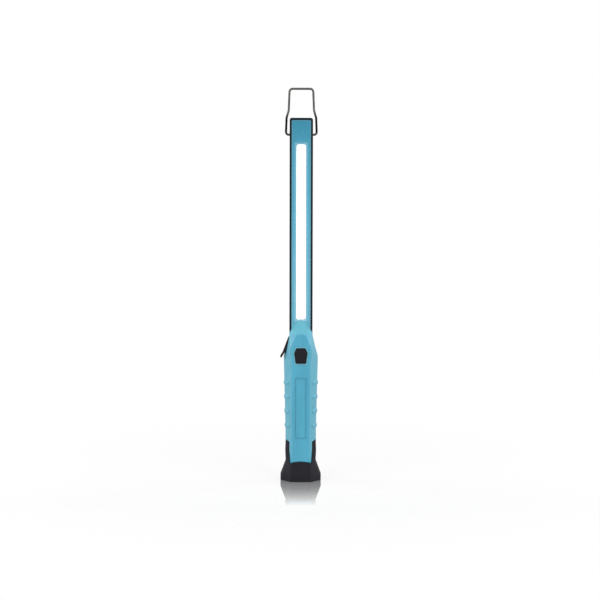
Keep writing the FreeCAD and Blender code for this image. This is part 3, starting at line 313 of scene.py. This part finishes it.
class WorkLightStage(bpy.types.PropertyGroup):
    """Table, lamps and camera."""

    focal: bpy.props.FloatProperty(
        name="Focal length", description="Focal length on a 36 mm sensor", default=101.76, min=1.0,
        unit="CAMERA")
    distance: length_field("Camera distance", "Distance from the lamp's middle plane", 1.9)
    height: length_field("Camera height", "Height of the camera over the table", 0.3698)
    aside: bpy.props.FloatProperty(
        name="Camera offset", description="Camera position across the front", default=-0.0011,
        subtype="DISTANCE", unit="LENGTH")
    pitch: bpy.props.FloatProperty(
        name="Pitch", description="How far the camera looks down", default=math.radians(4.986),
        subtype="ANGLE", unit="ROTATION")
    roll: bpy.props.FloatProperty(
        name="Roll", description="How far the camera leans", default=math.radians(0.12),
        subtype="ANGLE", unit="ROTATION")
    key_power: number_field("Key light", "Watts of the two front soft boxes", 9.0)
    top_power: number_field("Top light", "Watts of the soft box overhead", 3.0)
    rim_share: number_field("Side light", "Share of the key light in each side box", 0.5)
    sky: number_field("Sky", "Strength of the surrounding light on the lamp", 0.55)
    polish_reach: length_field(
        "Polish reach", "How far in front of the lamp the table stops mirroring", 128.0 * MM)
    polish_share: number_field("Polish strength", "Share of the mirror in the table's finish", 0.79)
    paper_near: length_field(
        "Paper start", "Distance from the lamp at which the table turns to plain white", 160.0 * MM)
    paper_far: length_field(
        "Paper end", "Distance from the lamp from which it is plain white", 500.0 * MM)


def finish_of():
    """The scene's colours."""
    return bpy.context.scene.work_light_finish


def edges_of():
    """The scene's edge widths."""
    return bpy.context.scene.work_light_edges


def shades_of():
    """The scene's painted shade and painted light."""
    return bpy.context.scene.work_light_shades


def glow_of():
    """The scene's strengths of the lit strip."""
    return bpy.context.scene.work_light_glow


def dress(name, material):
    """Give one CAD node a single material."""
    slots = NODES[name].data.materials
    slots.clear()
    slots.append(material)


def soften(name, width, angle=25.0, segments=3):
    """Round a CAD node's sharp edges with modifiers, leaving its mesh alone."""
    piece = NODES[name]
    weld = piece.modifiers.new("weld", "WELD")
    weld.merge_threshold = 0.002 * MM
    merge = piece.modifiers.new("merge_flats", "DECIMATE")
    merge.decimate_type = "DISSOLVE"
    merge.angle_limit = math.radians(1.0)
    bevel = piece.modifiers.new("edge_round", "BEVEL")
    bevel.width = width
    bevel.segments = segments
    bevel.limit_method = "ANGLE"
    bevel.angle_limit = math.radians(angle)
    bevel.use_clamp_overlap = True
    shade = piece.modifiers.new("even_shading", "WEIGHTED_NORMAL")
    shade.keep_sharp = True


# ---------------------------------------------------------------- materials

def satin_blue(recipe, tone, base_rough, spread, depth):
    """Roughness and normal of the satin blue: smudges over a fine grain."""
    grain = recipe.noise(2600.0, 2.0, 0.6)
    smudge = recipe.noise(45.0, 4.0, 0.6)
    return {"Base_Color": tone, "Roughness": base_rough + smudge * spread, "IOR": 1.46,
            "Normal": recipe.bump(grain, depth[0], depth[1])}


def panel_groove_shade(across, up):
    """Painted shade: 1 along the border of the sunk panel, falling to 0 beside it."""
    shades = shades_of()
    middle = (shades.panel_low + shades.panel_high) / 2
    tall = (shades.panel_high - shades.panel_low) / 2
    beside = (abs(across) - shades.panel_half).most(abs(up - middle) - tall)
    return 1.0 - (abs(beside) / shades.panel_shade_line).least(1.0)


def button_lip_highlight(across, up):
    """Painted highlight: 1 on the narrow lip round the six-sided button, 0 on the button and beyond
    the lip.
    """
    shades = shades_of()
    middle = shades.button_mid
    low_slope = (shades.button_mid_half - shades.button_low_half) / (middle - shades.button_low)
    high_slope = (shades.button_mid_half - shades.button_high_half) / (shades.button_high - middle)
    half = shades.button_mid_half + (up - middle) * low_slope
    half = half.least(shades.button_mid_half - (up - middle) * high_slope)
    beyond = (abs(across) - half).most(up - shades.button_high).most(shades.button_low - up)
    reach = shades.lip_highlight_reach
    return beyond.step(0.0, 0.2 * reach) * beyond.step(reach, 0.6 * reach)


def blue_moulding():
    """Satin blue plastic of the handle: faint flow marks, painted shade in the panel's groove, a
    painted highlight on the button's lip, painted light on the dome and a painted sheen on the
    flanks.
    """
    recipe = Recipe("blue_moulding")
    base = finish_of().blue
    shades = shades_of()
    across, deep, up = recipe.place()
    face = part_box("front_shell")[0][1]
    front = deep.step(face + 2 * MM, face + MM)
    # Painted shade in the sunk panel's groove.
    groove = panel_groove_shade(across, up) * front
    # Painted highlight on the lip round the button.
    lip = button_lip_highlight(across, up) * front
    # Painted light: the dome paler, as if lit from above.
    dome = up.step(shades.dome_light_low, shades.dome_light_high)
    # Painted sheen: the flanks warmer, as if lit from the side.
    flank_sheen = abs(across).step(shades.flank_sheen_near, shades.flank_sheen_far)
    flow = recipe.noise(60.0, 2.0, 0.5, recipe.stretched(1.0, 1.0, 0.25))
    tone = recipe.blend(flow.step(0.3, 0.7), rgba(base, 0.94), rgba(base, 1.05))
    tone = recipe.blend(groove * shades.panel_shade_share, tone, rgba(base, 0.25))
    tone = recipe.blend(lip * shades.lip_highlight_share, tone, tinted(base, LIP_HIGHLIGHT_TINT))
    tone = recipe.blend(dome, tone, tinted(base, DOME_LIGHT_TINT))
    tone = recipe.blend(flank_sheen, tone, tinted(base, FLANK_SHEEN_TINT))
    return recipe.surface(**satin_blue(recipe, tone, 0.42, 0.12, (0.08, 0.04 * MM)),
                          Specular_IOR_Level=0.42)


def window_painted_glow(across, up):
    """Painted glow: 1 at the edge of the lit window, falling to 0 where the painted glow ends."""
    glow = glow_of()
    low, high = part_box("lens")
    middle = (low[2] + high[2]) / 2
    half_tall = (high[2] - low[2]) / 2 - glow.lens_ledge
    half_wide = (high[0] - low[0]) / 2 - glow.lens_ledge
    beside = (abs(across) - half_wide).most(0.0)
    beyond = (abs(up - middle) - half_tall).most(0.0)
    away = (beside * beside + beyond * beyond) ** 0.5
    return (1.0 - (away / glow.halo_reach).least(1.0)) ** 2.0


def blade_face():
    """The same blue on the blade, with painted light from its foot to its top, a painted highlight
    along its border, and a painted glow (emission) beside the lit window.
    """
    recipe = Recipe("blade_face")
    base = finish_of().blue
    shades = shades_of()
    across, _, up = recipe.place()
    (_, _, foot), (half, _, top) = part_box("blade_fascia")
    # Painted light: the face paler near its foot and darker towards its top.
    rise = recipe.node("ShaderNodeMapRange", None, {"Value": up, "From Min": foot, "From Max": top})
    stops = [(share, tinted(base, gains)) for share, gains in PAINTED_LIGHT_FADE]
    tone = recipe.node("ShaderNodeValToRGB", {"stops": stops}, {"Fac": rise})
    # Painted highlight along the face's rounded border.
    border = (half - abs(across)).least(top - up).step(shades.border_highlight_far, shades.border_highlight_near)
    tone = recipe.blend(border * shades.border_highlight_share, tone, BORDER_HIGHLIGHT_BLUE)
    flow = recipe.noise(60.0, 2.0, 0.5, recipe.stretched(1.0, 1.0, 0.25))
    tone = recipe.blend(flow.step(0.3, 0.7) * 0.06, tone, BLACK)
    # Painted glow beside the window: emission from the blade face, which is no lamp.
    spill_painted_glow = recipe.blend(window_painted_glow(across, up), BLACK, rgba(finish_of().glow))
    return recipe.surface(**satin_blue(recipe, tone, 0.36, 0.10, (0.05, 0.03 * MM)),
                          Emission_Color=spill_painted_glow, Emission_Strength=glow_of().halo_power)


def black_moulding():
    """Blue-black satin plastic with a fine grain."""
    recipe = Recipe("black_moulding")
    base = finish_of().shell
    mottle = recipe.noise(120.0, 3.0, 0.6)
    tone = recipe.blend(mottle, rgba(base, 0.8), rgba(base, 1.3))
    grain = recipe.noise(1900.0, 3.0, 0.6)
    return recipe.surface(Base_Color=tone, Roughness=0.46 + mottle * 0.14, Specular_IOR_Level=0.12,
                          Normal=recipe.bump(grain, 0.08, 0.04 * MM), IOR=1.46)


def soft_rubber(name, base, rough, grain_scale=900.0):
    """Moulded rubber with a pebbled skin and dust in its pores."""
    recipe = Recipe(name)
    pebble = recipe.cells(grain_scale)
    cloud = recipe.noise(70.0, 4.0, 0.65)
    tone = recipe.blend(cloud, rgba(base, 0.8), rgba(base, 1.35))
    fine = recipe.noise(grain_scale * 3.0, 2.0, 0.5)
    height = pebble * 0.7 + fine * 0.3
    return recipe.surface(Base_Color=tone, Roughness=rough + cloud * 0.12, Specular_IOR_Level=0.13,
                          Normal=recipe.bump(height, 0.25, 0.08 * MM), IOR=1.48)


def drawn_wire():
    """Drawn steel: fine lines along the rod, with painted shade where the legs run down beside the
    blade, and a little lighter at the top of the bow.
    """
    recipe = Recipe("drawn_wire")
    base = finish_of().wire
    lines = recipe.noise(900.0, 2.0, 0.5, recipe.stretched(1.0, 1.0, 0.06))
    cloud = recipe.noise(140.0, 4.0, 0.6)
    _, _, up = recipe.place()
    low, high = (corner[2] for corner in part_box("bail"))
    leg = (up - low) / (high - low)
    tone = recipe.blend(cloud.step(0.35, 0.7), rgba(base, 0.72), rgba(base, 1.15))
    tone = recipe.blend(leg.step(0.85, 0.97), tone, rgba(base, 1.1))
    # Painted shade: the legs darkened where they run down beside the blade.
    tone = recipe.blend(leg.step(0.46, 0.38) * leg.step(0.04, 0.10) * 0.9, tone, rgba(base, 0.03))
    return recipe.surface(Base_Color=tone, Metallic=1.0, Roughness=0.24 + cloud * 0.16,
                          Normal=recipe.bump(lines, 0.05, 0.02 * MM))


def plated(name, base, rough, metallic=1.0):
    """Plated or cast metal with faint clouds in its polish."""
    recipe = Recipe(name)
    cloud = recipe.noise(260.0, 3.0, 0.6)
    tone = recipe.blend(cloud, rgba(base, 0.82), rgba(base, 1.1))
    return recipe.surface(Base_Color=tone, Metallic=metallic, Roughness=rough + cloud * 0.12,
                          Normal=recipe.bump(cloud, 0.08, 0.03 * MM))


def plain_moulding(name, base, rough):
    """Small moulded part of one colour with a light grain."""
    recipe = Recipe(name)
    cloud = recipe.noise(190.0, 3.0, 0.6)
    fine = recipe.noise(1700.0, 2.0, 0.5)
    tone = recipe.blend(cloud, rgba(base, 0.88), rgba(base, 1.12))
    return recipe.surface(Base_Color=tone, Roughness=rough + cloud * 0.1,
                          Normal=recipe.bump(fine, 0.12, 0.05 * MM))


def circuit_mask():
    """Green solder mask over copper tracks."""
    recipe = Recipe("circuit_mask")
    base = finish_of().board
    across, _, up = recipe.place()
    track = (across * 4200.0).sine() * (up * 3100.0).sine()
    mask = track.step(0.1, 0.3)
    tone = recipe.blend(mask, rgba(base, 0.8), rgba(base, 1.7))
    return recipe.surface(Base_Color=tone, Roughness=0.3 + mask * 0.1,
                          Normal=recipe.bump(mask, 0.2, 0.04 * MM))


def clear_lens():
    """Clear acrylic with the faintest waviness."""
    recipe = Recipe("clear_lens")
    wave = recipe.noise(160.0, 2.0, 0.4)
    return recipe.surface(Base_Color=(0.97, 0.99, 1.0, 1.0), Roughness=0.03 + wave * 0.03,
                          Transmission_Weight=1.0, IOR=1.45,
                          Normal=recipe.bump(wave, 0.02, 0.05 * MM))


def lit_strip():
    """Phosphor strip, alight, with the single chips just told apart and its corners dimmer."""
    recipe = Recipe("lit_strip")
    light = finish_of().glow
    glow = glow_of()
    low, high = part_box("led_strip")
    across, _, up = recipe.place()
    beside = (abs(across) - high[0] + glow.fade_side).most(0.0) / glow.fade_side
    above = (up - high[2] + glow.fade_top).most(0.0) / glow.fade_top
    below = (low[2] + glow.fade_foot - up).most(0.0) / glow.fade_foot
    outward = (beside * beside + above * above + below * below) ** 0.5
    chips = recipe.cells(420.0)
    tone = recipe.blend(chips.step(0.0, 0.6), rgba(light, 1.05), rgba(light, 0.92))
    tone = recipe.blend(outward.step(0.72, 1.12), tone, DIM_GLOW)
    return recipe.surface(Base_Color=(0.95, 0.93, 0.7, 1.0), Roughness=0.5,
                          Emission_Color=tone, Emission_Strength=glow.glow_power)


def white_mask():
    """White solder mask of the LED board, with a painted pale blue cast reflected from the blade
    round it.
    """
    recipe = Recipe("white_mask")
    cloud = recipe.noise(300.0, 2.0, 0.5)
    # Painted reflection: a pale blue cast from the blade round the board.
    tone = recipe.blend(cloud, (0.72, 0.84, 0.90, 1.0), (0.80, 0.90, 0.95, 1.0))
    return recipe.surface(Base_Color=tone, Roughness=0.35 + cloud * 0.1)


# ---------------------------------------------------------------- operators

class WORKLIGHT_OT_shells(bpy.types.Operator):
    """Finish the blue and black mouldings of the handle and the blade"""

    bl_idname = "worklight.shells"
    bl_label = "Shells"

    def execute(self, context):
        edges = edges_of()
        dress("front_shell", blue_moulding())
        dress("blade_fascia", blade_face())
        black = black_moulding()
        for name in ("rear_shell", "blade_channel"):
            dress(name, black)
        soften("front_shell", edges.shell_edge)
        soften("rear_shell", edges.shell_edge)
        soften("blade_channel", edges.small_edge * 1.6)
        soften("blade_fascia", edges.small_edge)
        return {"FINISHED"}


class WORKLIGHT_OT_rubber(bpy.types.Operator):
    """Finish the boot, the thumb button, the port cover and the gasket"""

    bl_idname = "worklight.rubber"
    bl_label = "Rubber"

    def execute(self, context):
        finish = finish_of()
        edges = edges_of()
        boot = soft_rubber("boot_rubber", finish.rubber, 0.55)
        soft = soft_rubber("button_rubber", finish.button, 0.42, 1300.0)
        dress("base_boot", boot)
        dress("charge_cover", boot)
        dress("button_cap", soft)
        # The gasket's pale blue-white is painted light: it stands in for the glow at the lit
        # window's edge.
        dress("lens_gasket", soft_rubber("clear_silicone_painted_glow", (0.62, 0.76, 0.82), 0.5, 1300.0))
        dress("battery_pad", soft_rubber("foam", (0.05, 0.05, 0.055), 0.8, 500.0))
        soften("base_boot", edges.rubber_edge)
        soften("charge_cover", edges.small_edge)
        soften("button_cap", edges.small_edge * 1.6)
        return {"FINISHED"}


class WORKLIGHT_OT_metal(bpy.types.Operator):
    """Finish the wire hook, its bushes, the screws and the magnet foot"""

    bl_idname = "worklight.metal"
    bl_label = "Metal"

    def execute(self, context):
        dress("bail", drawn_wire())
        dress("bail_bushes", plated("turned_brass", (0.52, 0.42, 0.22), 0.3))
        nickel = plated("nickel_plate", (0.58, 0.57, 0.55), 0.26)
        for name in ("magnet_cup", "magnet_screw", "battery_tabs", "charge_jack", "cover_pin",
                     "board_screws"):
            dress(name, nickel)
        dress("base_magnet", plated("magnet_plate", (0.44, 0.44, 0.46), 0.18))
        oxide = plated("black_oxide", (0.045, 0.045, 0.05), 0.38, 0.7)
        for name in ("handle_screws", "root_screws", "blade_screws"):
            dress(name, oxide)
            soften(name, edges_of().small_edge * 0.5, 40.0, 2)
        dress("heat_spreader", plated("extruded_bar", (0.66, 0.66, 0.68), 0.34))
        dress("root_block", plated("cast_alloy", (0.55, 0.55, 0.57), 0.45))
        return {"FINISHED"}


class WORKLIGHT_OT_inner_parts(bpy.types.Operator):
    """Finish the battery, the boards, the leads and the blocks inside"""

    bl_idname = "worklight.inner_parts"
    bl_label = "Inner parts"

    def execute(self, context):
        dress("battery_cell", plain_moulding("cell_sleeve", (0.03, 0.22, 0.20), 0.25))
        mask = circuit_mask()
        for name in ("control_board", "charge_board"):
            dress(name, mask)
        resin = plain_moulding("black_resin", (0.02, 0.02, 0.022), 0.4)
        for name in ("driver_chip", "power_coil", "tact_switch"):
            dress(name, resin)
        nylon = plain_moulding("grey_nylon", (0.30, 0.31, 0.32), 0.48)
        for name in ("foot_plug", "battery_cradle", "end_cap", "switch_plunger"):
            dress(name, nylon)
        sleeve = plain_moulding("lead_sleeve", (0.30, 0.025, 0.02), 0.45)
        for name in ("battery_leads", "lamp_leads", "charge_leads"):
            dress(name, sleeve)
        return {"FINISHED"}


class WORKLIGHT_OT_light(bpy.types.Operator):
    """Light the strip behind its clear lens"""

    bl_idname = "worklight.light"
    bl_label = "Light"

    def execute(self, context):
        dress("lens", clear_lens())
        dress("led_strip", lit_strip())
        dress("led_board", white_mask())
        return {"FINISHED"}


class WORKLIGHT_OT_stage(bpy.types.Operator):
    """Set the table, the lamps and the camera"""

    bl_idname = "worklight.stage"
    bl_label = "Stage"

    def execute(self, context):
        stage = context.scene.work_light_stage
        self.lay_table(context, stage)
        self.hang_lamps(context, stage)
        context.scene.world = self.studio_world(stage)
        self.place_camera(context, stage)
        context.scene.view_settings.view_transform = "Standard"
        return {"FINISHED"}

    @staticmethod
    def lay_table(context, stage):
        """White table whose polish shows the foot of the lamp and fades out in front of it."""
        side = 30.0
        mesh = bpy.data.meshes.new("table")
        corners = [(-side, -side, 0), (side, -side, 0), (side, side, 0), (-side, side, 0)]
        mesh.from_pydata(corners, [], [(0, 1, 2, 3)])
        table = bpy.data.objects.new("table", mesh)
        context.scene.collection.objects.link(table)
        recipe = Recipe("white_table")
        across, deep, _ = recipe.place()
        seen = recipe.node("ShaderNodeLightPath", out="Is Camera Ray")
        matt = recipe.node("ShaderNodeBsdfDiffuse", None, {"Color": (0.74, 0.74, 0.74, 1.0)})
        bloom = recipe.node("ShaderNodeEmission", None, {"Color": WHITE, "Strength": 0.05})
        ground = recipe.node("ShaderNodeAddShader", None, {0: matt, 1: bloom})
        polish = recipe.node("ShaderNodeBsdfGlossy", None, {"Color": WHITE, "Roughness": 0.03})
        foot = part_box("base_boot")[0][1]
        ahead = ((foot - deep) / stage.polish_reach).most(0.0).least(1.0)
        mirror = (1.0 - ahead * ahead) * stage.polish_share
        top = recipe.node("ShaderNodeMixShader", None, {0: mirror, 1: ground, 2: polish})
        paper = recipe.node("ShaderNodeEmission", None, {"Color": WHITE, "Strength": 1.0})
        far = ((across * across + deep * deep) ** 0.5).step(stage.paper_near, stage.paper_far)
        top = recipe.node("ShaderNodeMixShader", None, {0: far, 1: top, 2: paper})
        top = recipe.node("ShaderNodeMixShader", None, {0: seen, 1: matt, 2: top})
        mesh.materials.append(recipe.finish(top))

    @staticmethod
    def hang_lamps(context, stage):
        """Two large soft boxes in front, one overhead and a strip light on each side."""
        top = CAD_BOX[1][2]
        boxes = (("key_left", (-0.9, -1.2, 0.9), 1.0, stage.key_power),
                 ("key_right", (0.9, -1.2, 0.9), 1.0, stage.key_power),
                 ("top_box", (0.0, -0.25, 1.3), 0.9, stage.top_power),
                 ("rim_left", (-1.0, 0.3, 0.5), 0.6, stage.key_power * stage.rim_share),
                 ("rim_right", (1.0, 0.3, 0.5), 0.6, stage.key_power * stage.rim_share))
        for name, spot, size, power in boxes:
            data = bpy.data.lights.new(name, "AREA")
            data.energy = power
            data.size = size
            lamp = bpy.data.objects.new(name, data)
            lamp.location = spot
            aim = Vector((0, 0, top / 2)) - Vector(spot)
            lamp.rotation_euler = aim.to_track_quat("-Z", "Y").to_euler()
            context.scene.collection.objects.link(lamp)

    @staticmethod
    def studio_world(stage):
        """White to the eye and in reflections, a gentle level as light."""
        recipe = Recipe("studio", "World")
        seen, gloss, glass = (recipe.node("ShaderNodeLightPath", out=f"Is {ray} Ray")
                              for ray in ("Camera", "Glossy", "Transmission"))
        level = recipe.node("ShaderNodeMapRange", None,
                            {"Value": seen.most(gloss).most(glass), "To Min": stage.sky})
        return recipe.finish(recipe.node("ShaderNodeBackground", None,
                                         {"Color": WHITE, "Strength": level}))

    @staticmethod
    def place_camera(context, stage):
        """Long lens, a little above the lamp's top."""
        data = bpy.data.cameras.new("camera")
        data.sensor_width = SENSOR
        data.lens = stage.focal
        data.clip_end = 100.0
        camera = bpy.data.objects.new("camera", data)
        place = Matrix.Translation((stage.aside, -stage.distance, stage.height))
        lean = Matrix.Rotation(stage.roll, 4, "Z")
        camera.matrix_world = place @ Matrix.Rotation(math.pi / 2 - stage.pitch, 4, "X") @ lean
        context.scene.collection.objects.link(camera)
        context.scene.camera = camera


STEPS = (WORKLIGHT_OT_shells, WORKLIGHT_OT_rubber, WORKLIGHT_OT_metal, WORKLIGHT_OT_inner_parts,
         WORKLIGHT_OT_light, WORKLIGHT_OT_stage)
GROUPS = {"work_light_finish": WorkLightFinish, "work_light_edges": WorkLightEdges,
          "work_light_shades": WorkLightShades, "work_light_glow": WorkLightGlow,
          "work_light_stage": WorkLightStage}


class WORKLIGHT_PT_panel(bpy.types.Panel):
    """The steps in order, with their colours and sizes"""

    bl_idname = "WORKLIGHT_PT_panel"
    bl_label = "Work Light"
    bl_space_type = "VIEW_3D"
    bl_region_type = "UI"
    bl_category = "Work Light"

    def draw(self, context):
        for step in STEPS:
            self.layout.operator(step.bl_idname)
        for name, group in GROUPS.items():
            box = self.layout.box()
            for field in group.__annotations__:
                box.prop(getattr(context.scene, name), field)


def register():
    """Make the steps, the panel and the settings known to Blender."""
    for kind in (*GROUPS.values(), *STEPS, WORKLIGHT_PT_panel):
        bpy.utils.register_class(kind)
    for name, group in GROUPS.items():
        setattr(bpy.types.Scene, name, bpy.props.PointerProperty(type=group))


def unregister():
    """Take them away again."""
    for name in GROUPS:
        delattr(bpy.types.Scene, name)
    for kind in reversed((*GROUPS.values(), *STEPS, WORKLIGHT_PT_panel)):
        bpy.utils.unregister_class(kind)


def main():
    """Run every step."""
    register()
    for step in STEPS:
        area, name = step.bl_idname.split(".")
        getattr(getattr(bpy.ops, area), name)()


if __name__ == "__main__":
    main()
